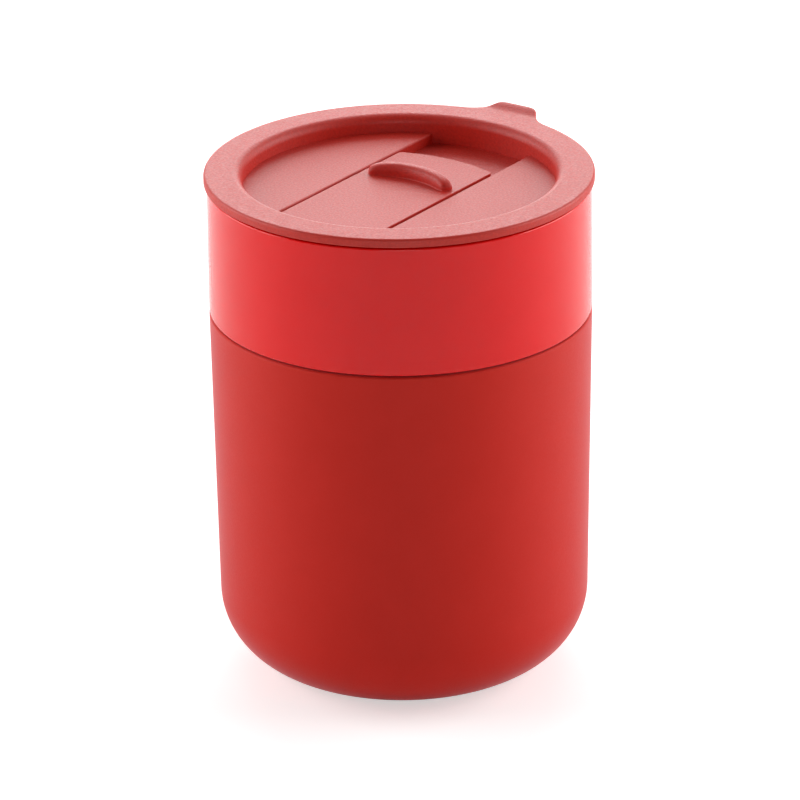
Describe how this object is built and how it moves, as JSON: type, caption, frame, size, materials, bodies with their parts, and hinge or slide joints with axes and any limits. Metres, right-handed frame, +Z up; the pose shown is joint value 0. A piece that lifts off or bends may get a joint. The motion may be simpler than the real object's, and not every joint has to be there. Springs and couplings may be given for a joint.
{
  "type": "ceramic travel mug",
  "caption": "Straight-sided ceramic travel mug: glazed band, soft grip sleeve with a rounded base, and a push-in lid with a sliding drink cover and a pull tab.",
  "frame": {"origin": "middle of the flat base, on the cup's axis", "axes": "+Z up along the cup's axis, +Y towards the lid's pull tab, -Y towards the drink hole"},
  "size_m": [0.0852, 0.0899, 0.1151],
  "materials": {
    "cup_glaze": "smooth glossy glaze",
    "sleeve_silicone": "matte, soft to the touch",
    "lid_plastic": "fine moulded grain",
    "gasket_silicone": "matte",
    "slider_plastic": "fine moulded grain"
  },
  "bodies": {
    "cup": {"ceramic_cup": "cup_glaze", "grip_sleeve": "sleeve_silicone"},
    "lid": {"lid_body": "lid_plastic", "lid_gasket": "gasket_silicone"},
    "slider": {"lid_slider": "slider_plastic"}
  },
  "joints": [
    {"name": "lid_lift", "type": "slide", "parent": "cup", "child": "lid", "axis": [0, 0, 1], "range_m": [0, 0.06]},
    {"name": "slider_slide", "type": "slide", "parent": "lid", "child": "slider", "axis": [0, 1, 0], "range_m": [0, 0.01375]}
  ]
}
